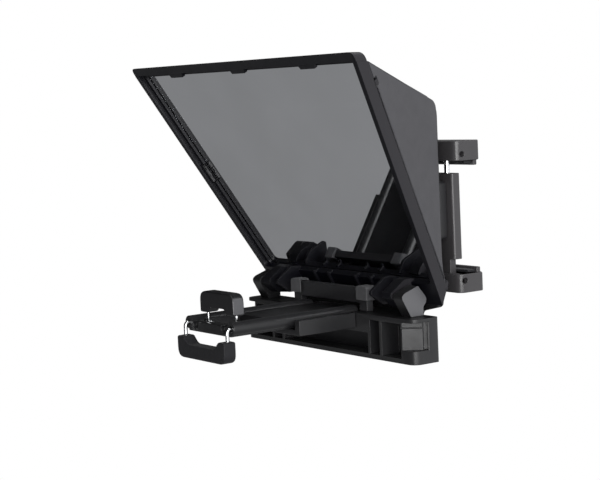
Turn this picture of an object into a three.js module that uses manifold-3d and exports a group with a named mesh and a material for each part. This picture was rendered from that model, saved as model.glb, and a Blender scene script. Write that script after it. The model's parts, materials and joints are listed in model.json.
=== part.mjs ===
// Folding teleprompter: a base with a phone and tablet holder, a tilted beam-splitter frame with
// three folding hood panels, a rear plate with the lens ring, and a sprung phone clamp behind it.
// Millimetres, +Z up, talent side at -Y, lens side at +Y. The drawing datum is the tray: y = 0 at the
// rear stop and z = 0 at the screen of a tablet. place() moves it to the lens-mount axis.
import * as THREE from 'three';
import { mergeVertices } from 'three/addons/utils/BufferGeometryUtils.js';
import Module from 'manifold-3d';

const wasm = await Module();
wasm.setup();

// ---- driving dimensions ----
const GAP = 0.3;
const LENS = { y: 33, z: 54 };

const FRAME = {
  tilt: THREE.MathUtils.degToRad(60.4),
  footY: 18.8,
  footZ: -4,
  length: 161.4,
  halfBottom: 79.4,
  halfTop: 110.1,
  thick: 6.7,
  cornerR: 4.8,
  crownZ: 136.3,
  heelZ: -4.2,
  lip: 3.4,
  lipDepth: 2.6,
  ledge: 6,
  ledgeTop: 153.6,
  openBottom: 16,
  openTop: 155.9,
};
// Heel plane of the frame, as (y, z) at its top and bottom.
const HEEL = { top: [21, 7.8], bottom: [17.7, -4.2] };
const GLASS = { thick: 1.8, front: 4.8, inset: 3.2, bottom: 13.4, top: 155.4 };
const TAB = { pitch: 64.7, width: 15.7, taper: 1.6, drop: 3.2, from: -3.2, to: -1 };
const LATCH = { s: 84, half: 6, slot: 0.5 };
const HINGE = { y: 7, z: 2.5, pinR: 1.6, boreR: 1.95, pinFrom: 53, pinTo: 70.8, boreTo: 71.2 };

const BODY = {
  half: 80.6, front: -4.3, back: 14, bottom: -33, deck: -8, cornerR: 5,
  rearHalf: 52, rearBack: 23.7,
};
const GUIDE = { half: 30.5, front: -44, back: -4.6, bottom: -16.5, slotHalf: 26, slotFloor: -13.4 };
// Slanting recess at each end of the housing: a flat from the front face to the end face.
const END_FLAT = {
  front: [70.6, -4.3], rear: [80.6, 6.9], bottom: -25.5, top: -10, slotFrom: 0.77, slotTo: 0.93,
};
const POCKET = { floor: -30.2, back: 8, roof: -11, midRoof: -18.5 };
const REAR = {
  half: 69.5, footHalf: 52, front: 24, back: 28, bottom: -31, step: -5, top: 107, boreR: 41.3,
};
const RING = { flangeR: 44.5, barrelR: 40.9, threadR: 38.4, boreR: 36, front: 21.3, flangeBack: 23.7 };
const NUT = { innerR: 41.2, outerR: 47.5, front: 28.3, back: 31.3, notches: 8 };

const HOOD = {
  thick: 1.4, beadR: 0.9, stubR: 0.6, earBore: 0.95, rearX: 81.4, rearY: 16.4, rearZ: 109, lowZ: 25,
};
const SIDE_HINGE = {
  behind: 1.2, inset: 1.4, from: 14.6, to: 137.4, tip: 151.8, nose: 0.6, ear: 3, lugDrop: 1.2, notch: 2,
};
const TOP_HINGE = { behind: 2.9, s: 151.1, half: 96, ear: 3, panelHalf: 101, rearHalf: 76.5, rise: 2 };

const STOP = { half: 35, y0: 0.5, y1: 5, z0: -3.1, z1: 5.5, legFrom: 28 };
const SLIDER = {
  front: -83.3, back: 2, tubeX: 21.2, tubeZ: -8.4, tubeR: 3.7, boreR: 1.5, boreBack: -12,
  plateBottom: -13, plateTop: -7.2, socketX: 14.2, socketZ: -9, socketR: 2.5, socketDepth: 2.4,
};
const WINDOW = { half: 17.1, front: -79.5, back: -52 };
const CLAW = { y: -74.4, z: -8.8, legX: 14.2, wireR: 0.9, half: 16.8, bottom: -2.6, top: 9.4, depth: 3.8 };
const BAIL = { wireR: 1.1, bend: 2.3, dropY: -85.6, endY: -16, crossZ: -23.4 };
const BAIL_PAD = {
  half: 23.8, top: -15.2, bottom: -27.3, front: -90, back: -82, floor: -19.6, cutTop: 17.8, cutFloor: 13.4,
};

const CLAMP = { x: 60, rodX: 7, rodY: 36, rodR: 1.6, boreR: 1.9 };
const SPINE = {
  half: 14, front: 33.3, back: 39, bottom: 21, top: 69, neckHalf: 10, neckBack: 37.6, neckFoot: 6,
};
const JAW = {
  half: 20, front: 31.5, back: 48.7, padFront: 40, padBack: 45.4, topZ: 76, height: 11, bottomZ: 13,
  foot: 2.6, cornerR: 5,
};

// ---- materials ----
const finish = (color, roughness, metalness = 0) =>
  new THREE.MeshStandardMaterial({ color, roughness, metalness });
const BLACK_PLASTIC = finish(0x1b1c1f, 0.55);
const DARK_PLASTIC = finish(0x2a2b2f, 0.6);
const PANEL = finish(0x4a4a4e, 0.75);
const RUBBER = finish(0x232327, 0.85);
const GREY_RUBBER = finish(0x56565a, 0.8);
const STEEL = finish(0xb9bcc0, 0.28, 1);
const BRASS = finish(0xb08d4a, 0.35, 1);
const GLASS_MIRROR = finish(0x7d8084, 0.05, 0.6);
const ANODISED = finish(0x26272a, 0.4, 0.7);

// ---- solid tools ----
function toManifold(geometry) {
  const bare = geometry.clone();
  bare.deleteAttribute('normal');
  bare.deleteAttribute('uv');
  const merged = mergeVertices(bare, 1e-5);
  return new wasm.Manifold(new wasm.Mesh({
    numProp: 3,
    vertProperties: new Float32Array(merged.attributes.position.array),
    triVerts: new Uint32Array(merged.index.array),
  }));
}

function toGeometry(solid) {
  const mesh = solid.getMesh();
  const geometry = new THREE.BufferGeometry();
  geometry.setAttribute('position', new THREE.BufferAttribute(new Float32Array(mesh.vertProperties), 3));
  geometry.setIndex(new THREE.BufferAttribute(new Uint32Array(mesh.triVerts), 1));
  geometry.computeVertexNormals();
  return geometry;
}

function solidOf(added, removed = []) {
  let solid = toManifold(added[0]);
  for (const piece of added.slice(1)) {
    solid = solid.add(toManifold(piece));
  }
  for (const piece of removed) {
    solid = solid.subtract(toManifold(piece));
  }
  return toGeometry(solid);
}

function box(x0, x1, y0, y1, z0, z1) {
  const geometry = new THREE.BoxGeometry(x1 - x0, y1 - y0, z1 - z0);
  return geometry.translate((x0 + x1) / 2, (y0 + y1) / 2, (z0 + z1) / 2);
}

function cylX(radius, x0, x1, y, z, segments = 24) {
  const geometry = new THREE.CylinderGeometry(radius, radius, x1 - x0, segments);
  return geometry.rotateZ(-Math.PI / 2).translate((x0 + x1) / 2, y, z);
}

function cylY(radius, y0, y1, x, z, segments = 24) {
  const geometry = new THREE.CylinderGeometry(radius, radius, y1 - y0, segments);
  return geometry.translate(x, (y0 + y1) / 2, z);
}

function cylZ(radius, z0, z1, x, y, segments = 24) {
  const geometry = new THREE.CylinderGeometry(radius, radius, z1 - z0, segments);
  return geometry.rotateX(Math.PI / 2).translate(x, y, (z0 + z1) / 2);
}

function mirrorX(geometry) {
  const mirror = geometry.applyMatrix4(new THREE.Matrix4().makeScale(-1, 1, 1));
  const index = mirror.index ? mirror.index.array : null;
  const position = mirror.attributes.position;
  const order = index ? Array.from(index) : Array.from({ length: position.count }, (_, i) => i);
  for (let i = 0; i < order.length; i += 3) {
    [order[i], order[i + 1]] = [order[i + 1], order[i]];
  }
  mirror.setIndex(order);
  return mirror;
}

// Outline with each corner eased by its own radius (0 keeps it sharp).
function outline(points, radii = 0) {
  const shape = new THREE.Shape();
  const at = (i) => new THREE.Vector2(...points[(i + points.length) % points.length]);
  points.forEach((_, i) => {
    const radius = Array.isArray(radii) ? radii[i] : radii;
    const corner = at(i);
    const before = at(i - 1).sub(corner).setLength(radius).add(corner);
    const after = at(i + 1).sub(corner).setLength(radius).add(corner);
    if (i === 0) {
      shape.moveTo(before.x, before.y);
    } else {
      shape.lineTo(before.x, before.y);
    }
    if (radius > 0) {
      shape.quadraticCurveTo(corner.x, corner.y, after.x, after.y);
    }
  });
  shape.closePath();
  return shape;
}

const extrude = (shape, depth) =>
  new THREE.ExtrudeGeometry(shape, { depth, bevelEnabled: false, curveSegments: 6 });

function prismX(pointsYZ, x0, x1, radii = 0) {
  const basis = new THREE.Matrix4().makeBasis(
    new THREE.Vector3(0, 1, 0), new THREE.Vector3(0, 0, 1), new THREE.Vector3(1, 0, 0));
  return extrude(outline(pointsYZ, radii), x1 - x0).applyMatrix4(basis).translate(x0, 0, 0);
}

function prismY(pointsXZ, y0, y1, radii = 0) {
  const basis = new THREE.Matrix4().makeBasis(
    new THREE.Vector3(1, 0, 0), new THREE.Vector3(0, 0, 1), new THREE.Vector3(0, -1, 0));
  return extrude(outline(pointsXZ, radii), y1 - y0).applyMatrix4(basis).translate(0, y1, 0);
}

function prismZ(pointsXY, z0, z1, radii = 0) {
  return extrude(outline(pointsXY, radii), z1 - z0).translate(0, 0, z0);
}

// A straight rod between two points.
function rod(from, to, radius, segments = 16) {
  const axis = new THREE.Vector3().subVectors(to, from);
  const geometry = new THREE.CylinderGeometry(radius, radius, axis.length(), segments);
  const turn = new THREE.Quaternion().setFromUnitVectors(new THREE.Vector3(0, 1, 0), axis.clone().normalize());
  const middle = new THREE.Vector3().addVectors(from, to).multiplyScalar(0.5);
  return geometry.applyQuaternion(turn).translate(middle.x, middle.y, middle.z);
}

// Path that passes the extruder exactly the points it was given.
class PointPath extends THREE.Curve {
  constructor(points) {
    super();
    this.points = points;
  }

  getPoint(t) {
    return this.points[Math.round(t * (this.points.length - 1))].clone();
  }

  getPointAt(t) {
    return this.getPoint(t);
  }

  getTangentAt(t) {
    const i = Math.round(t * (this.points.length - 1));
    const a = this.points[Math.max(0, i - 1)];
    const b = this.points[Math.min(this.points.length - 1, i + 1)];
    return new THREE.Vector3().subVectors(b, a).normalize();
  }
}

// Round wire through corner points with bent corners.
function wire(corners, radius, bend, segments = 12) {
  const points = [corners[0]];
  for (let i = 1; i < corners.length - 1; i += 1) {
    const inward = new THREE.Vector3().subVectors(corners[i - 1], corners[i]).setLength(bend).add(corners[i]);
    const outward = new THREE.Vector3().subVectors(corners[i + 1], corners[i]).setLength(bend).add(corners[i]);
    const curve = new THREE.QuadraticBezierCurve3(inward, corners[i], outward);
    points.push(...curve.getPoints(5));
  }
  points.push(corners[corners.length - 1]);
  const section = new THREE.Shape();
  section.absarc(0, 0, radius, 0, Math.PI * 2, false);
  return new THREE.ExtrudeGeometry(section, {
    steps: points.length - 1, extrudePath: new PointPath(points), curveSegments: segments,
  });
}

// Turned ring about the Y axis from an (radius, y) profile.
function turned(profile, x, z, segments = 64) {
  const points = [...profile, profile[0]].map(([r, y]) => new THREE.Vector2(r, y));
  return new THREE.LatheGeometry(points, segments).translate(x, 0, z);
}

// ---- the object ----
const teleprompter = new THREE.Group();
teleprompter.name = 'teleprompter';

function place(name, geometry, material) {
  const mesh = new THREE.Mesh(geometry.translate(0, -LENS.y, -LENS.z), material);
  mesh.name = name;
  teleprompter.add(mesh);
}

const sideName = (side) => (side > 0 ? 'right' : 'left');
const mirrored = (points, side) => points.map(([a, b]) => [a * side, b]);
const span = (side, a, b) => (side > 0 ? [a, b] : [-b, -a]);

// ---- tilted frame space: x across, s up the slope, w out of the front face ----
const frameMatrix = new THREE.Matrix4()
  .makeBasis(
    new THREE.Vector3(1, 0, 0),
    new THREE.Vector3(0, -Math.cos(FRAME.tilt), Math.sin(FRAME.tilt)),
    new THREE.Vector3(0, -Math.sin(FRAME.tilt), -Math.cos(FRAME.tilt)))
  .setPosition(0, FRAME.footY, FRAME.footZ);
const inFrame = (geometry) => geometry.applyMatrix4(frameMatrix);
const framePoint = (x, s, w) => new THREE.Vector3(x, s, w).applyMatrix4(frameMatrix);
const halfAt = (s) => FRAME.halfBottom + ((FRAME.halfTop - FRAME.halfBottom) * s) / FRAME.length;

function trapezoid(s0, s1, inset) {
  return [
    [-halfAt(s0) + inset, s0], [halfAt(s0) - inset, s0],
    [halfAt(s1) - inset, s1], [-halfAt(s1) + inset, s1],
  ];
}

function frameSlab(points, w0, w1, radii = 0) {
  return inFrame(extrude(outline(points, radii), w1 - w0).translate(0, 0, w0));
}

// Block that follows a side rail between two insets from its outer edge.
function railBlock(side, s0, s1, insetOuter, insetInner, w0, w1) {
  const points = mirrored([
    [halfAt(s0) - insetOuter, s0], [halfAt(s1) - insetOuter, s1],
    [halfAt(s1) - insetInner, s1], [halfAt(s0) - insetInner, s0],
  ], side);
  return frameSlab(side > 0 ? points : points.reverse(), w0, w1);
}

function retainingTab(x) {
  const { width, taper, drop, from, to } = TAB;
  const root = FRAME.openTop + 0.6;
  const tip = FRAME.openTop - drop;
  return frameSlab([
    [x - width / 2 + taper, tip], [x + width / 2 - taper, tip], [x + width / 2, root], [x - width / 2, root],
  ], from, to);
}

// Hinge knuckle and gusset ribs that stand off the frame's lower bar.
function lowerRibs(side) {
  const nose = [[9.4, 12.4], [5.2, 12.2], [-4.8, 5.4], [-5, 3.4], [3.5, -2.9], [20, -2.9], [13, 12]];
  const knuckle = [[9.4, 12.4], [5.6, 11.6], [-3.6, 5.4], [-3.8, 2.4], [2.6, -3.4], [9.6, -4.2], [20, -2.6], [13, 12]];
  const pieces = [
    prismX(nose, ...span(side, 44, 46.2)),
    prismX(knuckle, ...span(side, 54, 62)),
  ];
  for (const x of [12, 26]) {
    const rib = [[10.4, 10.6], [8.4, 11.6], [13.6, 1.6], [16.6, 0], [19, 0], [13, 12]];
    pieces.push(prismX(rib, ...span(side, x, x + 1.8)));
  }
  return pieces;
}

function hingeAxis(side) {
  const { behind, inset, from, to } = SIDE_HINGE;
  const w = -FRAME.thick - behind;
  return {
    low: framePoint(side * (halfAt(from) - inset), from, w),
    high: framePoint(side * (halfAt(to) - inset), to, w),
  };
}

function hingeEars(side) {
  const { behind, from, to, ear, lugDrop } = SIDE_HINGE;
  const axisW = -FRAME.thick - behind;
  const rear = axisW - HOOD.earBore - 0.35;
  const lugTop = from - lugDrop;
  const lug = [
    [lugTop, -FRAME.thick + 0.8], [lugTop, axisW + 0.5], [lugTop - 0.8, rear], [4, rear],
    [4, -FRAME.thick + 0.8],
  ].map(([along, w]) => framePoint(0, along, w)).map((p) => [p.y, p.z]);
  const inner = halfAt(lugTop) - 3;
  return [
    prismX(lug, ...span(side, inner, halfAt(lugTop - ear) - 0.1)),
    railBlock(side, to + GAP, to + ear + GAP, 0.1, 3, rear, -FRAME.thick + 0.5),
  ];
}

// Shapes that trim the lower end of the frame to its heel plane and its foot.
function heelCuts() {
  const { top, bottom } = HEEL;
  const slope = (top[0] - bottom[0]) / (top[1] - bottom[1]);
  const above = 30;
  const below = -14;
  const heel = [
    [bottom[0] + (below - bottom[1]) * slope, below], [40, below], [40, above],
    [bottom[0] + (above - bottom[1]) * slope, above],
  ];
  return [prismX(heel, -120, 120), box(-120, 120, 8, 40, -14, FRAME.heelZ)];
}

// Rounds one end of the flat crown, following the lean of the side rail.
function crownCorner(side) {
  const { crownZ, thick, tilt, cornerR, footY, footZ } = FRAME;
  const frontS = (crownZ - footZ) / Math.sin(tilt);
  const rearS = (crownZ - footZ - Math.cos(tilt) * thick) / Math.sin(tilt);
  const front = framePoint(halfAt(frontS), frontS, 0);
  const rear = framePoint(halfAt(rearS), rearS, -thick);
  const lean = (halfAt(1) - halfAt(0)) / Math.sin(tilt);
  const depth = Math.hypot(1, lean);
  const foot = [front.x - (cornerR * lean) / depth, crownZ - cornerR / depth];
  const shape = new THREE.Shape();
  shape.moveTo(front.x - cornerR, crownZ);
  shape.quadraticCurveTo(front.x, crownZ, foot[0], foot[1]);
  shape.lineTo(front.x + 6, foot[1]);
  shape.lineTo(front.x + 6, crownZ + 3);
  shape.lineTo(front.x - cornerR, crownZ + 3);
  shape.closePath();
  const y0 = front.y - footY;
  const basis = new THREE.Matrix4().makeBasis(
    new THREE.Vector3(1, 0, 0), new THREE.Vector3(0, 0, 1), new THREE.Vector3(0, -1, 0));
  const skew = (rear.x - front.x) / (rear.y - front.y);
  const shear = new THREE.Matrix4().set(1, skew, 0, 0, 0, 1, 0, 0, 0, 0, 1, 0, 0, 0, 0, 1);
  const wedge = extrude(shape, 30).applyMatrix4(basis).translate(0, 18, 0).applyMatrix4(shear);
  wedge.translate(0, y0 + footY, 0);
  return side > 0 ? wedge : mirrorX(wedge);
}


// Bracket off the frame's top bar that carries one end of the roof panel's pin.
function topEar(side) {
  const { s, behind, half, ear } = TOP_HINGE;
  const axisW = -FRAME.thick - behind;
  const profile = [
    [155.9, -FRAME.thick + 0.8], [157.6, -FRAME.thick + 0.8], [157.3, -FRAME.thick],
    [s + 1.6, axisW - 1.5], [s - 1.5, axisW - 1.5], [s - 1.5, axisW + 1.3], [155.9, -FRAME.thick - 0.3],
  ].map(([along, w]) => framePoint(0, along, w)).map((p) => [p.y, p.z]);
  return prismX(profile, ...span(side, half + GAP, half + ear + GAP));
}

function glassFrame() {
  const { length, thick, lip, lipDepth, ledge, ledgeTop, openBottom, openTop, crownZ } = FRAME;
  const plate = solidOf([frameSlab(trapezoid(0, length + 1, 0), -thick, 0)], [
    frameSlab(trapezoid(openBottom, openTop, lip), -lipDepth, 1, [3, 3, 0.8, 0.8]),
    frameSlab(trapezoid(openBottom, ledgeTop, ledge), -thick - 1, 1 - lipDepth, [3, 3, 0.8, 0.8]),
    frameSlab(trapezoid(GLASS.bottom - GAP, GLASS.top + GAP, GLASS.inset - GAP), -thick - 1, -GLASS.front + GAP),
  ]);
  const fittings = [-1, 0, 1].map((i) => retainingTab(i * TAB.pitch));
  const cuts = [box(-120, 120, -80, 20, crownZ, crownZ + 10), crownCorner(1), crownCorner(-1)];
  const ears = [];
  const bores = heelCuts();
  for (const side of [-1, 1]) {
    fittings.push(...lowerRibs(side));
    ears.push(...hingeEars(side), topEar(side));
    const latchReach = LATCH.half + LATCH.slot;
    cuts.push(railBlock(side, LATCH.s - latchReach, LATCH.s + latchReach, 3.2, 6.6, -4, -1.4));
    const { low, high } = hingeAxis(side);
    const along = new THREE.Vector3().subVectors(high, low).normalize();
    const drop = SIDE_HINGE.lugDrop + SIDE_HINGE.ear + 0.8;
    bores.push(rod(low.clone().addScaledVector(along, -drop), low, HOOD.earBore));
    bores.push(rod(high, high.clone().addScaledVector(along, SIDE_HINGE.ear), HOOD.earBore));
    bores.push(cylX(HINGE.boreR, ...span(side, 50, 66), HINGE.y, HINGE.z));
  }
  const topAxis = framePoint(0, TOP_HINGE.s, -thick - TOP_HINGE.behind);
  bores.push(cylX(HOOD.earBore, -101, 101, topAxis.y, topAxis.z, 16));
  const trimmed = solidOf([plate, ...fittings], cuts);
  place('glass_frame', solidOf([trimmed, ...ears], bores), BLACK_PLASTIC);
}

function glassPane() {
  const { bottom, top, inset, front, thick } = GLASS;
  const pane = frameSlab(trapezoid(bottom, top, inset), -front - thick, -front);
  place('beam_splitter_glass', pane, GLASS_MIRROR);
}

function glassLatch(side) {
  const { s, half } = LATCH;
  const body = railBlock(side, s - half, s + half, 3.6, 5.6, -3.7, -1.8);
  const nib = railBlock(side, s - 2, s + 2, 5.2, 6.3, -3.4, -2.2);
  place(`glass_latch_${sideName(side)}`, solidOf([body, nib]), DARK_PLASTIC);
}

// ---- hood ----
// Flat panel through three points, thickened evenly about its mid plane.
function flatPanel(origin, along, toward, points, radii, thick) {
  const u = along.clone().normalize();
  const n = new THREE.Vector3().crossVectors(u, toward).normalize();
  const v = new THREE.Vector3().crossVectors(n, u);
  const matrix = new THREE.Matrix4().makeBasis(u, v, n).setPosition(origin);
  return extrude(outline(points, radii), thick).translate(0, 0, -thick / 2).applyMatrix4(matrix);
}

// Where the panel's upright rear edge meets its lower edge, in the panel's own two directions.
function rearEdgePoint(low, u, v) {
  const dy = HOOD.rearY - low.y;
  const dz = HOOD.lowZ - low.z;
  const scale = u.y * v.z - u.z * v.y;
  return [(dy * v.z - dz * v.y) / scale, (u.y * dz - u.z * dy) / scale];
}

function hoodSide(side) {
  const { low, high } = hingeAxis(side);
  const { ear, lugDrop, from, to, tip, nose, notch } = SIDE_HINGE;
  const along = new THREE.Vector3().subVectors(high, low);
  const u = along.clone().normalize();
  const toRear = new THREE.Vector3(side * HOOD.rearX, HOOD.rearY, HOOD.rearZ).sub(low);
  const rearU = toRear.dot(u);
  const v = toRear.clone().addScaledVector(u, -rearU);
  const rearV = v.length();
  v.normalize();
  const length = along.length();
  const perS = length / (to - from);
  const tipU = (tip - from) * perS;
  const notchTop = length + (ear + 3 * GAP) * perS + 0.6;
  const panel = flatPanel(low, along, toRear, [
    [0.4, -nose], [length - 0.4, -nose], [length - 0.4, notch], [notchTop, notch], [notchTop, -nose],
    [tipU, -nose], [rearU, rearV], rearEdgePoint(low, u, v),
  ], [0, 0, 0, 0, 0, 0.6, 5, 3], HOOD.thick);
  const bead = rod(low.clone().addScaledVector(u, 0.4), high.clone().addScaledVector(u, -0.4), HOOD.beadR);
  const foot = low.clone().addScaledVector(u, -lugDrop - ear);
  const pin = rod(foot, high.clone().addScaledVector(u, ear - 0.4), HOOD.stubR, 12);
  place(`hood_side_${sideName(side)}`, solidOf([panel, bead, pin]), PANEL);
}

function hoodTop() {
  const axis = framePoint(0, TOP_HINGE.s, -FRAME.thick - TOP_HINGE.behind);
  const rear = new THREE.Vector3(0, HOOD.rearY, HOOD.rearZ + TOP_HINGE.rise);
  const reach = new THREE.Vector3().subVectors(rear, axis).length();
  const { half, panelHalf, rearHalf, ear } = TOP_HINGE;
  const panel = flatPanel(axis, new THREE.Vector3(1, 0, 0), new THREE.Vector3().subVectors(rear, axis),
    [[-half, 0], [half, 0], [half, 5], [panelHalf - 2, 6], [rearHalf, reach], [-rearHalf, reach],
      [-panelHalf + 2, 6], [-half, 5]], [0, 0, 0, 1, 3, 3, 1, 0], HOOD.thick);
  const bead = cylX(HOOD.beadR, -half, half, axis.y, axis.z, 16);
  const pin = cylX(HOOD.stubR, -half - ear, half + ear, axis.y, axis.z, 12);
  place('hood_top', solidOf([panel, bead, pin]), PANEL);
}

// ---- base ----
function cheek(side) {
  const profile = [
    [7.4, 9.1], [-2.4, 5.9], [-4.1, 4.4], [-4.1, 2.6], [2.2, -8.5], [10.8, -8.5], [10.8, -2.8],
    [13.1, -0.4], [13.1, 2.2],
  ];
  return prismX(profile, ...span(side, 64, 72), [0.8, 1.2, 0.8, 0.8, 0, 0, 0.5, 1.2, 1.2]);
}

// Cuts for the slanting flat, the slot across it and the thin groove along it.
function endFlat(side) {
  const { front, rear, bottom, top, slotFrom, slotTo } = END_FLAT;
  const run = new THREE.Vector2(rear[0] - front[0], rear[1] - front[1]);
  const inward = new THREE.Vector2(-run.y, run.x).normalize();
  const at = (share, depth) => [
    front[0] + run.x * share + inward.x * depth, front[1] + run.y * share + inward.y * depth,
  ];
  const prism = (points, z0, z1) => {
    const placed = mirrored(points, side);
    return prismZ(side > 0 ? placed : placed.reverse(), z0, z1);
  };
  return [
    prism([at(-0.2, 0), at(-0.2, -12), at(1.2, -12), at(1.2, 0)], bottom, top),
    prism([at(slotFrom, 3.2), at(slotFrom, -2), at(slotTo, -2), at(slotTo, 3.2)], bottom, top),
    prism([at(-0.1, 0.9), at(-0.1, -1), at(0.72, -1), at(0.72, 0.9)], -13.5, -12.8),
  ];
}

function pockets(side) {
  const cells = [[42.7, 50.8], [53, 69.4]];
  const cuts = cells.map(([a, b]) => {
    const [x0, x1] = span(side, a, b);
    return box(x0, x1, BODY.front - 1, POCKET.back, POCKET.floor, POCKET.roof);
  });
  cuts.push(...endFlat(side));
  return cuts;
}

function baseHousing() {
  const { half, front, back, bottom, deck, cornerR, rearHalf, rearBack } = BODY;
  const plan = [[-half, back], [-half, front], [half, front], [half, back]];
  const added = [
    prismZ(plan, bottom, deck, [2, cornerR * 1.25, cornerR * 1.25, 2]),
    box(-rearHalf, rearHalf, back - 1, rearBack, bottom, deck),
    cheek(-1), cheek(1),
  ];
  const removed = [
    box(-GUIDE.slotHalf, GUIDE.slotHalf, front - 1, back, GUIDE.slotFloor, deck + 1),
    box(-40.5, 40.5, front - 1, POCKET.back, POCKET.floor, POCKET.midRoof),
    ...pockets(-1), ...pockets(1),
    cylZ(4.6, bottom - 1, -22, 0, 17.5),
    ...[-1, 1].map((side) => cylX(HINGE.boreR, ...span(side, 62, HINGE.boreTo), HINGE.y, HINGE.z)),
    ...rearScrewSpots().map(([x, z]) => cylY(1.6, 14, rearBack + 1, x, z, 16)),
  ];
  place('base_housing', solidOf(added, removed), BLACK_PLASTIC);
}

// Channel below the tray that the holder's tubes slide in.
function holderGuide() {
  const { half, front, back, bottom, slotHalf, slotFloor } = GUIDE;
  const channel = [
    [-half, bottom], [half, bottom], [half, BODY.deck], [slotHalf, BODY.deck],
    [slotHalf, slotFloor], [-slotHalf, slotFloor], [-slotHalf, BODY.deck], [-half, BODY.deck],
  ];
  place('holder_guide', prismY(channel, front, back), BLACK_PLASTIC);
}

function tripodInsert() {
  const profile = [[3.05, -32.9], [4.3, -32.9], [4.3, -23], [3.05, -23]];
  const points = [...profile, profile[0]].map(([r, z]) => new THREE.Vector2(r, z));
  const insert = new THREE.LatheGeometry(points, 32).rotateX(Math.PI / 2);
  place('tripod_insert', insert.translate(0, 17.5, 0), BRASS);
}

function hingePin(side) {
  const pin = cylX(HINGE.pinR, ...span(side, HINGE.pinFrom, HINGE.pinTo), HINGE.y, HINGE.z);
  place(`hinge_pin_${sideName(side)}`, pin, STEEL);
}

function stopBar() {
  const { half, y0, y1, z0, z1, legFrom } = STOP;
  const legs = [-1, 1].map((side) => box(...span(side, legFrom, half), y0, y1, BODY.deck + GAP, z0 + 1));
  place('rear_stop_bar', solidOf([box(-half, half, y0, y1, z0, z1), ...legs]), DARK_PLASTIC);
}

function stopPad(side) {
  const face = [[26.5, -1.4], [36.6, -1.4], [36.6, 6.9], [26.5, 6.9]];
  const shell = prismY(face, -0.9, 6.3, [0, 0, 2.5, 2.5]);
  const cavity = box(26, STOP.half + GAP, STOP.y0 - GAP, STOP.y1 + GAP, -3, STOP.z1 + GAP);
  const pad = solidOf([shell], [cavity]);
  place(`rear_stop_pad_${sideName(side)}`, side > 0 ? pad : pad.rotateZ(Math.PI).translate(0, 5.4, 0), GREY_RUBBER);
}

// ---- rear plate and lens ring ----
function rearScrewSpots() {
  return [[-44, -28], [44, -28], [-44, -13], [44, -13]];
}

const clampScrewSpots = () => [[CLAMP.x - 0.5, 38.5], [CLAMP.x - 0.5, 58.5]];

function rearPlate() {
  const { half, footHalf, front, back, bottom, step, top, boreR } = REAR;
  const points = [
    [-footHalf, bottom], [footHalf, bottom], [footHalf, step - 4], [half, step],
    [half, top], [-half, top], [-half, step], [-footHalf, step - 4],
  ];
  const removed = [
    cylY(boreR, front - 1, back + 1, 0, LENS.z, 64),
    ...rearScrewSpots().map(([x, z]) => cylY(1.6, front - 1, back + 1, x, z, 16)),
    ...clampScrewSpots().map(([x, z]) => cylY(1.6, front - 1, back + 1, x, z, 16)),
  ];
  const plate = prismY(points, front, back, [2, 2, 3, 3, 5, 5, 3, 3]);
  place('rear_plate', solidOf([plate], removed), BLACK_PLASTIC);
}

function screwAlongY(name, x, z, y0, headY0, headY1, material) {
  const head = cylY(2.7, headY0, headY1, x, z, 20);
  const shank = cylY(1.25, y0, headY0 + 0.2, x, z, 12);
  const socket = cylY(1.3, headY1 - 1.1, headY1 + 1, x, z, 6);
  place(name, solidOf([head, shank], [socket]), material);
}

function lensRing() {
  const { flangeR, barrelR, threadR, boreR, front, flangeBack } = RING;
  place('lens_ring', turned([
    [boreR, front], [flangeR, front], [flangeR, flangeBack], [barrelR, flangeBack], [barrelR, LENS.y],
    [threadR, LENS.y], [threadR, LENS.y + 3.5], [boreR, LENS.y + 3.5],
  ], 0, LENS.z, 72), ANODISED);
}

function ringNut() {
  const { innerR, outerR, front, back, notches } = NUT;
  const ring = turned([[innerR, front], [outerR, front], [outerR, back], [innerR, back]], 0, LENS.z, 64);
  const cuts = Array.from({ length: notches }, (_, i) => {
    const a = (i * 2 * Math.PI) / notches + 0.39;
    return cylY(1.6, front - 1, back + 1, (outerR + 0.4) * Math.cos(a), LENS.z + (outerR + 0.4) * Math.sin(a), 12);
  });
  place('lens_ring_nut', solidOf([ring], cuts), ANODISED);
}

// ---- phone and tablet holder ----
function slider() {
  const { front, back, tubeX, tubeZ, tubeR, boreR, boreBack, plateBottom, plateTop } = SLIDER;
  const { socketX, socketZ, socketR, socketDepth } = SLIDER;
  const added = [box(-tubeX, tubeX, front, back, plateBottom, plateTop)];
  const removed = [box(-WINDOW.half, WINDOW.half, WINDOW.front, WINDOW.back, plateBottom - 1, plateTop + 1)];
  for (const side of [-1, 1]) {
    added.push(cylY(tubeR, front, back, side * tubeX, tubeZ, 32));
    removed.push(cylY(boreR, front - 1, boreBack, side * tubeX, tubeZ, 20));
    removed.push(cylY(socketR, front - 1, front + socketDepth, side * socketX, socketZ, 24));
    removed.push(cylX(1.2, ...span(side, 16, 19.2), CLAW.y, CLAW.z, 16));
  }
  place('holder_slider', solidOf(added, removed), BLACK_PLASTIC);
}

function clawWire() {
  const { y, z, legX, wireR } = CLAW;
  const added = [cylX(wireR, -18.9, 18.9, y, z, 16)];
  for (const side of [-1, 1]) {
    added.push(cylZ(wireR, z, 2.8, side * legX, y, 16));
  }
  place('phone_claw_wire', solidOf(added), STEEL);
}

function clawPad() {
  const { y, legX, half, bottom, top, depth } = CLAW;
  const points = [
    [-half, bottom], [-9.5, bottom], [-7, 0.5], [7, 0.5], [9.5, bottom], [half, bottom],
    [half, top], [-half, top],
  ];
  const pad = prismY(points, y - depth, y + depth, [1.2, 0, 1, 1, 0, 1.2, 5.5, 5.5]);
  const holes = [-1, 1].map((side) => cylZ(1.2, bottom - 1, 3.1, side * legX, y, 16));
  place('phone_claw_pad', solidOf([pad], holes), RUBBER);
}

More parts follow.
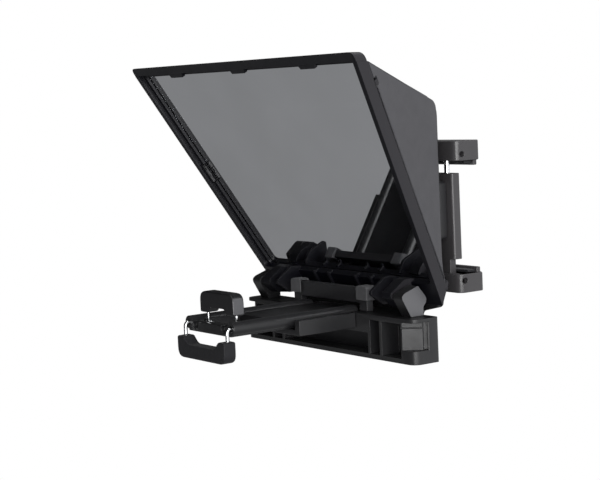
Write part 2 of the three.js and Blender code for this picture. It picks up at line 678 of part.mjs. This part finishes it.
function bailCorners() {
  const { dropY, endY, crossZ } = BAIL;
  const { tubeX, tubeZ } = SLIDER;
  return [
    [-tubeX, endY, tubeZ], [-tubeX, dropY, tubeZ], [-tubeX, dropY, crossZ],
    [tubeX, dropY, crossZ], [tubeX, dropY, tubeZ], [tubeX, endY, tubeZ],
  ].map((p) => new THREE.Vector3(...p));
}

function bailWire() {
  place('tablet_bail_wire', wire(bailCorners(), BAIL.wireR, BAIL.bend, 14), STEEL);
}

function bailPad() {
  const { half, top, bottom, front, back, floor, cutTop, cutFloor } = BAIL_PAD;
  const points = [
    [-half, bottom], [half, bottom], [half, top], [cutTop, top], [cutFloor, floor], [-cutFloor, floor],
    [-cutTop, top], [-half, top],
  ];
  const pad = prismY(points, front, back, [5.6, 5.6, 1.4, 0.8, 2.6, 2.6, 0.8, 1.4]);
  place('tablet_bail_pad', solidOf([pad], [wire(bailCorners(), BAIL.wireR + GAP, BAIL.bend, 14)]), RUBBER);
}

// ---- rear phone clamp ----
const jawPlan = () => {
  const { half, front, back } = JAW;
  return [
    [CLAMP.x - half, back], [CLAMP.x - half, front], [CLAMP.x + half, front], [CLAMP.x + half, back],
  ];
};
const rodSpots = () => [CLAMP.x - CLAMP.rodX, CLAMP.x + CLAMP.rodX];

function clampMount() {
  const x0 = CLAMP.x - 10;
  const x1 = CLAMP.x + 9;
  const points = [[x0, 32], [x1, 32], [x1, 65], [x0, 65]];
  const removed = [
    ...clampScrewSpots().map(([x, z]) => cylY(1.6, 27, 32, x, z, 16)),
    cylY(2.4, 27, 34, CLAMP.x - 0.5, 48.5, 20),
  ];
  place('clamp_mount', solidOf([prismY(points, REAR.back + GAP, SPINE.front - GAP, 3)], removed), DARK_PLASTIC);
}

function clampBody() {
  const { half, front, back, bottom, top, neckHalf, neckBack, neckFoot } = SPINE;
  const x = CLAMP.x;
  const plan = [[x - half, back], [x - half, front], [x + half, front], [x + half, back]];
  const neck = box(x - neckHalf, x + neckHalf, front, neckBack, neckFoot, bottom + 1);
  const removed = [
    ...rodSpots().map((rx) => cylZ(CLAMP.boreR, 26, top + 1, rx, CLAMP.rodY, 20)),
    cylY(2.4, front - 1, back + 1, x - 0.5, 48.5, 20),
    cylY(4.4, back - 2.6, back + 1, x - 0.5, 48.5, 24),
  ];
  place('clamp_body', solidOf([prismZ(plan, bottom, top, [1, 2, 2, 1]), neck], removed), DARK_PLASTIC);
}

function clampBolt() {
  const x = CLAMP.x - 0.5;
  const head = cylY(4, SPINE.back - 2.3, SPINE.back - 0.4, x, 48.5, 24);
  const shank = cylY(2.1, 28.5, SPINE.back - 2, x, 48.5, 20);
  const socket = cylY(1.8, SPINE.back - 1.6, SPINE.back + 1, x, 48.5, 6);
  place('clamp_bolt', solidOf([head, shank], [socket]), STEEL);
}

function jaw(name, z0, z1, lip0, lip1, extraCuts) {
  const { back, cornerR } = JAW;
  const body = prismZ(jawPlan(), z0, z1, [1.5, cornerR, cornerR, 1.5]);
  const lip = box(CLAMP.x - JAW.half + 2, CLAMP.x + JAW.half - 2, back - 3, back - 0.2, lip0, lip1);
  place(name, solidOf([body, lip], extraCuts), BLACK_PLASTIC);
}

function topJaw() {
  const z0 = JAW.topZ;
  const cuts = rodSpots().map((rx) => cylZ(CLAMP.boreR, z0 - 1, z0 + 7, rx, CLAMP.rodY, 20));
  cuts.push(cylX(1.55, CLAMP.x + 10.5, CLAMP.x + JAW.half + 1, CLAMP.rodY, z0 + 3.6, 16));
  jaw('clamp_jaw_top', z0, z0 + JAW.height, z0 - 3, z0 + 0.5, cuts);
}

function bottomJaw() {
  const { neckHalf, front, neckBack } = SPINE;
  const socket = box(CLAMP.x - neckHalf - GAP, CLAMP.x + neckHalf + GAP, front - GAP, neckBack + GAP, 5.7, 14);
  const screwHole = cylX(1.55, CLAMP.x + neckHalf + 0.2, CLAMP.x + JAW.half + 1, 35.4, 9.4, 16);
  jaw('clamp_jaw_bottom', JAW.foot, JAW.bottomZ, JAW.bottomZ - 0.5, JAW.bottomZ + 3, [socket, screwHole]);
}

function jawPad(name, z0) {
  const pad = box(CLAMP.x - 17, CLAMP.x + 17, JAW.padFront, JAW.padBack, z0, z0 + 1.5);
  place(name, pad, RUBBER);
}

function clampRod(x, name) {
  place(name, cylZ(CLAMP.rodR, 31, JAW.topZ + 6.6, x, CLAMP.rodY, 20), STEEL);
}

function setScrew(name, x0, y, z) {
  const end = x0 + 6.2;
  place(name, solidOf([cylX(1.25, x0, end, y, z, 16)], [cylX(0.7, end - 1.5, end + 1, y, z, 6)]), STEEL);
}

baseHousing();
holderGuide();
tripodInsert();
rearPlate();
rearScrewSpots().forEach(([x, z], i) =>
  screwAlongY(`rear_screw_${i + 1}`, x, z, 15, REAR.back + GAP, REAR.back + 2.4, STEEL));
lensRing();
ringNut();
stopBar();
for (const side of [1, -1]) {
  stopPad(side);
  hingePin(side);
}
glassFrame();
glassPane();
for (const side of [1, -1]) {
  glassLatch(side);
  hoodSide(side);
}
hoodTop();
slider();
clawWire();
clawPad();
bailWire();
bailPad();
clampMount();
clampBody();
clampBolt();
topJaw();
bottomJaw();
jawPad('clamp_pad_top', JAW.topZ - GAP - 1.5);
jawPad('clamp_pad_bottom', JAW.bottomZ + GAP);
rodSpots().forEach((x, i) => clampRod(x, `clamp_rod_${i + 1}`));
setScrew('clamp_set_screw_top', CLAMP.x + 11, CLAMP.rodY, JAW.topZ + 3.6);
setScrew('clamp_set_screw_bottom', CLAMP.x + SPINE.neckHalf + 0.7, 35.4, 9.4);

export default teleprompter;
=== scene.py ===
"""Looks for the folding teleprompter: camera, light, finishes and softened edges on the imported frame."""
import json
import math

import bpy
from mathutils import Matrix, Vector

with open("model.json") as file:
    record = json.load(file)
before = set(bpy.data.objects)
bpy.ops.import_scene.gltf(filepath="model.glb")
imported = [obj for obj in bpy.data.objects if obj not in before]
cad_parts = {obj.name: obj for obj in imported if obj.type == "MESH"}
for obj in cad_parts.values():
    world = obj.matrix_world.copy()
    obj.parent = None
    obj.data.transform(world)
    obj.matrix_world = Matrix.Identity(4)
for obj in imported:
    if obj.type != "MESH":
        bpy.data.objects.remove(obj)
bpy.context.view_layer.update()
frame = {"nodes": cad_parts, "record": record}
MM = 0.001

# ---- camera ----
CAMERA_AT = Vector((0.7225, -0.5750, 0.0635))
YAW, PITCH, ROLL = math.radians(54.09), math.radians(5.40), math.radians(-2.62)
FOCAL_PER_WIDTH = 1560.5 / 600
SENSOR = 36


def make_camera():
    ahead = Vector((-math.sin(YAW), math.cos(YAW), 0))
    forward = ahead * math.cos(PITCH) - Vector((0, 0, math.sin(PITCH)))
    level = Vector((math.cos(YAW), math.sin(YAW), 0))
    above = level.cross(forward)
    right = level * math.cos(ROLL) + above * math.sin(ROLL)
    up = above * math.cos(ROLL) - level * math.sin(ROLL)
    data = bpy.data.cameras.new("camera")
    data.sensor_width = SENSOR
    data.lens = FOCAL_PER_WIDTH * SENSOR
    data.clip_start, data.clip_end = 0.01, 50
    camera = bpy.data.objects.new("camera", data)
    bpy.context.scene.collection.objects.link(camera)
    turned = Matrix((right, up, -forward)).transposed().to_4x4()
    camera.matrix_world = Matrix.Translation(CAMERA_AT) @ turned
    bpy.context.scene.camera = camera


# ---- studio ----
FLOOR_Z = -0.26
FLOOR_HALF = 4.0
FLOOR_BEHIND, FLOOR_NEAR = 0.95, 0.27
WORLD_FRONT, WORLD_BEHIND = 0.03, 0.95
BACK_RIGHT = (0.62, 0.78, 0.0)
BEHIND_FROM, BEHIND_TO = -0.1, 0.6
NEAR_FROM, NEAR_TO = 0.8, 2.6
STUDIO_TINT = (0.97, 0.98, 1.0, 1)


def stage_plane(name, corners, material):
    mesh = bpy.data.meshes.new(name)
    mesh.from_pydata(corners, [], [(0, 1, 2, 3)])
    mesh.materials.append(material)
    plane = bpy.data.objects.new(name, mesh)
    bpy.context.scene.collection.objects.link(plane)
    return plane


def set_range(node, *limits):
    for socket, value in zip(("From Min", "From Max", "To Min", "To Max"), limits):
        node.inputs[socket].default_value = value


class StageNodes:
    """Short calls for the floor and backdrop shaders."""

    def __init__(self, tree):
        self.nodes, self.links = tree.nodes, tree.links
        self.nodes.clear()

    def dot(self, source, direction):
        node = self.nodes.new("ShaderNodeVectorMath")
        node.operation = "DOT_PRODUCT"
        self.links.new(source, node.inputs[0])
        node.inputs[1].default_value = direction
        return node.outputs["Value"]

    def length(self, source):
        node = self.nodes.new("ShaderNodeVectorMath")
        node.operation = "LENGTH"
        self.links.new(source, node.inputs[0])
        return node.outputs["Value"]

    def ramp(self, source, from_low, from_high, to_low, to_high):
        node = self.nodes.new("ShaderNodeMapRange")
        node.interpolation_type = "SMOOTHSTEP"
        self.links.new(source, node.inputs["Value"])
        set_range(node, from_low, from_high, to_low, to_high)
        return node.outputs["Result"]

    def brighter(self, a, b):
        node = self.nodes.new("ShaderNodeMath")
        node.operation = "MAXIMUM"
        self.links.new(a, node.inputs[0])
        self.links.new(b, node.inputs[1])
        return node.outputs[0]

    def by_ray(self, kind, out_kind, strength):
        """White to the camera, and of the given strength in reflections and bounced light."""
        seen, lit = self.nodes.new(kind), self.nodes.new(kind)
        lit.inputs["Color"].default_value = STUDIO_TINT
        self.links.new(strength, lit.inputs["Strength"])
        seen.inputs["Color"].default_value = (1, 1, 1, 1)
        seen.inputs["Strength"].default_value = 1.0
        path = self.nodes.new("ShaderNodeLightPath")
        mix = self.nodes.new("ShaderNodeMixShader")
        self.links.new(path.outputs["Is Camera Ray"], mix.inputs[0])
        self.links.new(lit.outputs[0], mix.inputs[1])
        self.links.new(seen.outputs[0], mix.inputs[2])
        self.links.new(mix.outputs[0], self.nodes.new(out_kind).inputs["Surface"])


# Pale sweep: bright behind and to the right of the object, dim below it and dark at the far front left.
def make_floor():
    material = bpy.data.materials.new("floor_white")
    material.use_nodes = True
    stage = StageNodes(material.node_tree)
    at = stage.nodes.new("ShaderNodeNewGeometry").outputs["Position"]
    behind = stage.ramp(stage.dot(at, BACK_RIGHT), BEHIND_FROM, BEHIND_TO, 0.0, FLOOR_BEHIND)
    near = stage.ramp(stage.length(at), NEAR_FROM, NEAR_TO, FLOOR_NEAR, 0.0)
    stage.by_ray("ShaderNodeEmission", "ShaderNodeOutputMaterial", stage.brighter(behind, near))
    h = FLOOR_HALF
    stage_plane("floor", [(-h, -h, FLOOR_Z), (h, -h, FLOOR_Z), (h, h, FLOOR_Z), (-h, h, FLOOR_Z)], material)


def make_world():
    world = bpy.data.worlds.new("studio")
    bpy.context.scene.world = world
    world.use_nodes = True
    stage = StageNodes(world.node_tree)
    toward = stage.nodes.new("ShaderNodeTexCoord").outputs["Generated"]
    behind = stage.ramp(stage.dot(toward, BACK_RIGHT), BEHIND_FROM, BEHIND_TO, WORLD_FRONT, WORLD_BEHIND)
    stage.by_ray("ShaderNodeBackground", "ShaderNodeOutputWorld", behind)


LIGHTS_AIM = Vector((0.03, -0.03, 0.0))


# Rectangular softbox of a given radiance.
def softbox(name, at, width, height, radiance):
    data = bpy.data.lights.new(name, "AREA")
    data.shape = "RECTANGLE"
    data.size, data.size_y = width, height
    data.energy = radiance * math.pi * width * height
    lamp = bpy.data.objects.new(name, data)
    lamp.location = at
    lamp.rotation_euler = (LIGHTS_AIM - Vector(at)).to_track_quat("-Z", "Y").to_euler()
    lamp.visible_camera = False
    bpy.context.scene.collection.objects.link(lamp)


# ---- finishes ----
class Finish:
    """Node material with a principled shader, and short calls for the textures behind it."""

    def __init__(self, name, roughness=0.5, metallic=0.0, specular=0.5):
        self.material = bpy.data.materials.new(name)
        self.material.use_nodes = True
        self.nodes = self.material.node_tree.nodes
        self.links = self.material.node_tree.links
        self.shader = self.nodes["Principled BSDF"]
        self.set("Roughness", roughness)
        self.set("Metallic", metallic)
        self.set("Specular IOR Level", specular)
        self.place = self.nodes.new("ShaderNodeTexCoord").outputs["Object"]
        self.height = None

    def set(self, socket, value):
        self.shader.inputs[socket].default_value = value

    def stretched(self, scale):
        node = self.nodes.new("ShaderNodeMapping")
        node.inputs["Scale"].default_value = scale
        self.links.new(self.place, node.inputs["Vector"])
        return node.outputs[0]

    def noise(self, size, detail=2.0, rough=0.5, stretch=(1, 1, 1)):
        node = self.nodes.new("ShaderNodeTexNoise")
        node.inputs["Scale"].default_value = 1 / (size * MM)
        node.inputs["Detail"].default_value = detail
        node.inputs["Roughness"].default_value = rough
        self.links.new(self.stretched(stretch), node.inputs["Vector"])
        return node.outputs["Fac"]

    def cells(self, size):
        node = self.nodes.new("ShaderNodeTexVoronoi")
        node.inputs["Scale"].default_value = 1 / (size * MM)
        self.links.new(self.place, node.inputs["Vector"])
        return node.outputs["Distance"]

    def edges(self, low=0.5, high=0.6):
        geometry = self.nodes.new("ShaderNodeNewGeometry")
        return self.ramp(geometry.outputs["Pointiness"], low, high, 0, 1)

    def ramp(self, source, from_low, from_high, to_low, to_high):
        node = self.nodes.new("ShaderNodeMapRange")
        self.links.new(source, node.inputs["Value"])
        set_range(node, from_low, from_high, to_low, to_high)
        return node.outputs["Result"]

    def maths(self, operation, a, b):
        node = self.nodes.new("ShaderNodeMath")
        node.operation = operation
        for socket, value in zip(node.inputs, (a, b)):
            if isinstance(value, (int, float)):
                socket.default_value = value
            else:
                self.links.new(value, socket)
        return node.outputs[0]

    def blend(self, fac, colour_a, colour_b):
        node = self.nodes.new("ShaderNodeMix")
        node.data_type = "RGBA"
        self.links.new(fac, node.inputs["Factor"])
        colour_sockets = [socket for socket in node.inputs if socket.type == "RGBA"]
        for socket, value in zip(colour_sockets, (colour_a, colour_b)):
            if isinstance(value, tuple):
                socket.default_value = (*value, 1)
            else:
                self.links.new(value, socket)
        return next(socket for socket in node.outputs if socket.type == "RGBA")

    def parts(self, vector):
        node = self.nodes.new("ShaderNodeSeparateXYZ")
        self.links.new(vector, node.inputs[0])
        return node.outputs

    def colour(self, source):
        self.links.new(source, self.shader.inputs["Base Color"])

    def roughness(self, source):
        self.links.new(source, self.shader.inputs["Roughness"])

    def bump(self, source, strength, depth):
        node = self.nodes.new("ShaderNodeBump")
        node.inputs["Strength"].default_value = strength
        node.inputs["Distance"].default_value = depth * MM
        self.links.new(source, node.inputs["Height"])
        if self.height is not None:
            self.links.new(self.height, node.inputs["Normal"])
        self.height = node.outputs[0]
        self.links.new(self.height, self.shader.inputs["Normal"])


# Lighter or darker shade of a base colour.
def scaled(base, factor):
    return tuple(min(1, c * factor) for c in base)


def moulded(name, base, shine, grain=0.32, depth=0.02, specular=0.5, worn=0.012):
    """Injection-moulded plastic: spark-eroded grain, faint flow shading and polished edges."""
    f = Finish(name, shine, 0, specular)
    patches = f.ramp(f.noise(14, 3, 0.6), 0.3, 0.7, 0, 1)
    speck = f.ramp(f.noise(0.9, 2, 0.7), 0.35, 0.75, 0, 1)
    body = f.blend(f.maths("MULTIPLY", patches, speck), base, scaled(base, 1.35))
    edge = f.edges(0.505, 0.62)
    f.colour(f.blend(edge, body, tuple(c + worn for c in base)))
    mottled = f.ramp(f.noise(5, 3, 0.6), 0.3, 0.7, shine - 0.05, shine + 0.06)
    f.roughness(f.maths("SUBTRACT", mottled, f.maths("MULTIPLY", edge, 0.12)))
    f.bump(f.noise(grain, 2, 0.6), 0.5, depth)
    f.bump(f.cells(grain * 1.7), 0.25, depth * 0.6)
    return f


def painted_lit_sides(name, base, face, shine, reach, above=-1.0, specular=0.5):
    """Moulded plastic with painted light: a paler colour painted on the outward side faces, past a reach
    and above a height, stands in for the light falling on them.
    """
    f = moulded(name, base, shine, 0.6, 0.003, specular)
    geometry = f.nodes.new("ShaderNodeNewGeometry")
    normal_x = f.parts(geometry.outputs["True Normal"])["X"]
    place = f.parts(geometry.outputs["Position"])
    # Painted light: faces pointing outwards past the reach and lying above the height get the paler colour
    # in place of the light on them.
    outermost = f.maths("GREATER_THAN", f.maths("MULTIPLY", normal_x, place["X"]), reach)
    painted_light_mask = f.maths("MULTIPLY", outermost, f.maths("GREATER_THAN", place["Z"], above))
    moulded_colour = f.shader.inputs["Base Color"].links[0].from_socket
    f.colour(f.blend(painted_light_mask, moulded_colour, face))
    return f


def moulded_rubber(name, base, shine=0.62, specular=0.35):
    """Soft-touch rubber: fine skin, faint draw lines down the mould and a little dust bloom."""
    f = Finish(name, shine, 0, specular)
    bloom = f.ramp(f.noise(7, 4, 0.65), 0.45, 0.75, 0, 1)
    lines = f.noise(1.3, 1, 0.4, (1, 1, 0.06))
    body = f.blend(bloom, base, scaled(base, 1.5))
    f.colour(f.blend(f.edges(0.51, 0.65), body, scaled(base, 1.9)))
    f.roughness(f.ramp(f.noise(3, 3, 0.6), 0.3, 0.7, shine - 0.06, shine + 0.08))
    f.bump(f.noise(0.22, 2, 0.7), 0.45, 0.015)
    f.bump(lines, 0.35, 0.05)
    f.set("Sheen Weight", 0.05)
    f.set("Sheen Roughness", 0.5)
    return f


def panel_board(name, base, shine=0.56):
    """Hood panel: flat moulded sheet with an even leathery grain."""
    f = Finish(name, shine, 0, 0.5)
    cloud = f.ramp(f.noise(40, 3, 0.55), 0.3, 0.7, 0, 1)
    body = f.blend(cloud, scaled(base, 0.93), scaled(base, 1.07))
    fleck = f.ramp(f.noise(0.55, 2, 0.7), 0.35, 0.7, 0, 0.45)
    body = f.blend(fleck, body, scaled(base, 1.3))
    f.colour(f.blend(f.edges(0.52, 0.7), body, scaled(base, 0.75)))
    f.roughness(f.ramp(f.noise(9, 3, 0.6), 0.3, 0.7, shine - 0.04, shine + 0.05))
    f.bump(f.cells(0.55), 0.3, 0.02)
    f.bump(f.noise(0.25, 2, 0.6), 0.3, 0.012)
    return f


def drawn_metal(name, base, shine, stretch, metallic=1.0):
    """Bare metal with fine marks along the way it was drawn or turned."""
    f = Finish(name, shine, metallic, 0.5)
    marks = f.noise(0.35, 3, 0.6, stretch)
    tarnish = f.ramp(f.noise(6, 4, 0.6), 0.4, 0.75, 0, 0.5)
    body = f.blend(tarnish, base, scaled(base, 0.72))
    f.colour(f.blend(f.ramp(marks, 0.35, 0.65, 0, 0.35), body, scaled(base, 1.12)))
    f.roughness(f.ramp(marks, 0.3, 0.7, shine - 0.06, shine + 0.1))
    f.bump(marks, 0.25, 0.01)
    return f


def beam_splitter(name):
    """Half-silvered glass: a grey mirror that still lets some light through."""
    f = Finish(name, 0.02, 1.0, 0.5)
    haze = f.ramp(f.noise(60, 2, 0.5), 0.3, 0.7, 0, 1)
    f.colour(f.blend(haze, (0.76, 0.77, 0.785), (0.82, 0.83, 0.85)))
    f.roughness(f.ramp(f.noise(25, 3, 0.6), 0.3, 0.7, 0.015, 0.03))
    clear = f.nodes.new("ShaderNodeBsdfTransparent")
    clear.inputs["Color"].default_value = (0.86, 0.88, 0.87, 1)
    mix = f.nodes.new("ShaderNodeMixShader")
    mix.inputs[0].default_value = 0.05
    out = f.nodes["Material Output"]
    f.links.new(f.shader.outputs[0], mix.inputs[1])
    f.links.new(clear.outputs[0], mix.inputs[2])
    f.links.new(mix.outputs[0], out.inputs["Surface"])
    return f


CHEEK_FOOT_Z = -0.0615
FINISHES = {
    "black_plastic": moulded("satin_black", (0.0075, 0.0075, 0.0085), 0.42),
    "dark_plastic": moulded("satin_dark", (0.012, 0.012, 0.0135), 0.46),
    "hood_panel": panel_board("hood_board", (0.040, 0.039, 0.044)),
    "rubber": moulded_rubber("black_rubber", (0.0055, 0.0055, 0.007)),
    "grey_rubber": moulded_rubber("grey_rubber_skin", (0.05, 0.05, 0.053), 0.6, 0.4),
    "steel": drawn_metal("drawn_steel", (0.86, 0.87, 0.88), 0.14, (1, 1, 1)),
    "brass_insert": drawn_metal("turned_brass", (0.62, 0.45, 0.2), 0.26, (1, 1, 6)),
    "beam_glass": beam_splitter("half_silvered"),
    "anodised": drawn_metal("black_anodised", (0.03, 0.03, 0.033), 0.34, (1, 6, 1), 0.6),
    # The second colour given to housing, claw and frame_black is painted light on their outward side faces.
    "housing": painted_lit_sides(
        "housing_black", (0.0075, 0.0075, 0.0085), (0.10, 0.10, 0.106), 0.42, 0.05, above=CHEEK_FOOT_Z),
    "claw": painted_lit_sides("claw_black", (0.006, 0.006, 0.007), (0.075, 0.075, 0.08), 0.4, 0.015),
    "frame_black": painted_lit_sides(
        "frame_black", (0.002, 0.002, 0.004), (0.021, 0.02, 0.023), 0.44, 0.06, specular=0.22),
    "clamp_black": moulded("clamp_black", (0.036, 0.034, 0.036), 0.36, 0.6, 0.004, 0.5),
}
OWN_FINISH = {
    "base_housing": "housing", "phone_claw_pad": "claw", "glass_frame": "frame_black",
    "clamp_body": "clamp_black", "clamp_jaw_top": "clamp_black", "clamp_jaw_bottom": "clamp_black",
}
SLOT_OF = {row["node"]: row["material_slot"] for row in frame["record"]["subparts"]}


def dress(thing, finish):
    thing.data.materials.clear()
    thing.data.materials.append(FINISHES[finish].material)


# ---- softened edges on the carried-over parts ----
BEVELS = {
    "beam_splitter_glass": 0.15, "hood_side_right": 0.25, "hood_side_left": 0.25, "hood_top": 0.25,
    "phone_claw_pad": 0.8, "tablet_bail_pad": 0.8, "rear_stop_pad_right": 0.6, "rear_stop_pad_left": 0.6,
    "clamp_jaw_top": 0.5, "clamp_jaw_bottom": 0.5, "base_housing": 0.2, "glass_frame": 0.2,
}
PLAIN_BEVEL = 0.3
SAME_POINT = 1e-6
FLAT_WITHIN = math.radians(0.6)
SHARP_OVER = math.radians(32)
FACE_WEIGHT = 80


def soften(thing, width, segments=2):
    weld = thing.modifiers.new("weld", "WELD")
    weld.merge_threshold = SAME_POINT
    flat = thing.modifiers.new("flat", "DECIMATE")
    flat.decimate_type = "DISSOLVE"
    flat.angle_limit = FLAT_WITHIN
    bevel = thing.modifiers.new("bevel", "BEVEL")
    bevel.width = width * MM
    bevel.segments = segments
    bevel.limit_method = "ANGLE"
    bevel.angle_limit = SHARP_OVER
    bevel.use_clamp_overlap = False
    thing.data.polygons.foreach_set("use_smooth", [True] * len(thing.data.polygons))
    for name in ("custom_normal", "sharp_edge", "sharp_face"):
        if name in thing.data.attributes:
            thing.data.attributes.remove(thing.data.attributes[name])
    normals = thing.modifiers.new("normals", "WEIGHTED_NORMAL")
    normals.weight = FACE_WEIGHT


def finish_parts():
    for name, thing in frame["nodes"].items():
        dress(thing, OWN_FINISH.get(name, SLOT_OF[name]))
        soften(thing, BEVELS.get(name, PLAIN_BEVEL))


make_camera()
make_floor()
make_world()
finish_parts()
softbox("key", (1.35, -0.62, 0.30), 0.85, 1.4, 4.8)
softbox("near", (0.98, -0.98, -0.04), 0.4, 0.7, 9.0)
softbox("top", (-0.12, 0.25, 1.30), 0.8, 0.8, 5.0)
bpy.context.scene.view_settings.view_transform = "Standard"
